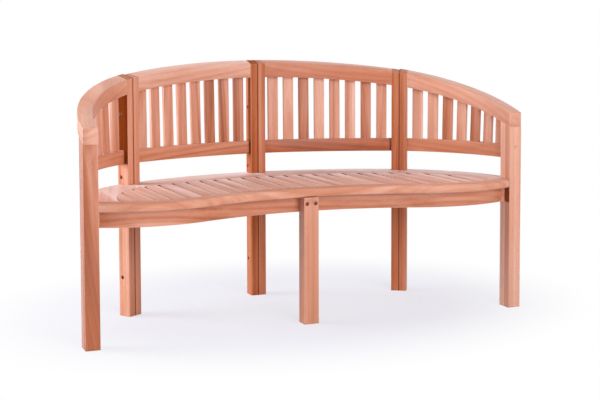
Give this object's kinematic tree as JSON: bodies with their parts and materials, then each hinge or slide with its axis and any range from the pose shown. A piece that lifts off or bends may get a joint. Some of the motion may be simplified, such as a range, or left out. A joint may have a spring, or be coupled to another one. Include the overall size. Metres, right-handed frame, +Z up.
{
  "type": "garden bench",
  "caption": "Curved slatted garden bench in oiled teak, with a kidney-shaped seat, a wrap-around slatted back that falls to the arms, and a middle front leg.",
  "frame": {"origin": "on the floor, midway between the two sides and midway between the front of the seat and the back of the posts", "axes": "+X to the sitter's left, +Y to the back, +Z up"},
  "size_m": [1.4996, 0.616, 0.8357],
  "materials": {
    "teak": "planed and oiled, pinkish tan with brown streaks",
    "steel": "dull zinc-plated bolt heads in counterbores"
  },
  "bodies": {
    "root": {"left_front_leg": "teak", "right_front_leg": "teak", "middle_front_leg": "teak", "left_arm_front_stile": "teak", "left_arm_rear_stile": "teak", "right_arm_front_stile": "teak", "right_arm_rear_stile": "teak", "back_left_outer_stile": "teak", "back_left_inner_stile": "teak", "back_right_outer_stile": "teak", "back_right_inner_stile": "teak", "left_arm_rail": "teak", "right_arm_rail": "teak", "back_left_top_rail": "teak", "back_right_top_rail": "teak", "left_arm_lower_rail": "teak", "right_arm_lower_rail": "teak", "back_left_lower_rail": "teak", "back_right_lower_rail": "teak", "left_arm_slats": "teak", "right_arm_slats": "teak", "back_left_slats": "teak", "back_right_slats": "teak", "seat_end_board_left": "teak", "seat_end_board_right": "teak", "seat_back_board_left": "teak", "seat_back_board_right": "teak", "seat_front_board": "teak", "seat_front_apron": "teak", "seat_side_rail_left": "teak", "seat_side_rail_right": "teak", "seat_back_rail_left": "teak", "seat_back_rail_right": "teak", "seat_slat_l01": "teak", "seat_slat_l02": "teak", "seat_slat_l03": "teak", "seat_slat_l04": "teak", "seat_slat_l05": "teak", "seat_slat_l06": "teak", "seat_slat_l07": "teak", "seat_slat_l08": "teak", "seat_slat_l09": "teak", "seat_slat_l10": "teak", "seat_slat_l11": "teak", "seat_slat_l12": "teak", "seat_slat_r01": "teak", "seat_slat_r02": "teak", "seat_slat_r03": "teak", "seat_slat_r04": "teak", "seat_slat_r05": "teak", "seat_slat_r06": "teak", "seat_slat_r07": "teak", "seat_slat_r08": "teak", "seat_slat_r09": "teak", "seat_slat_r10": "teak", "seat_slat_r11": "teak", "seat_slat_r12": "teak", "connector_bolts": "steel", "seat_screws": "steel", "arm_pegs": "teak"}
  },
  "joints": []
}
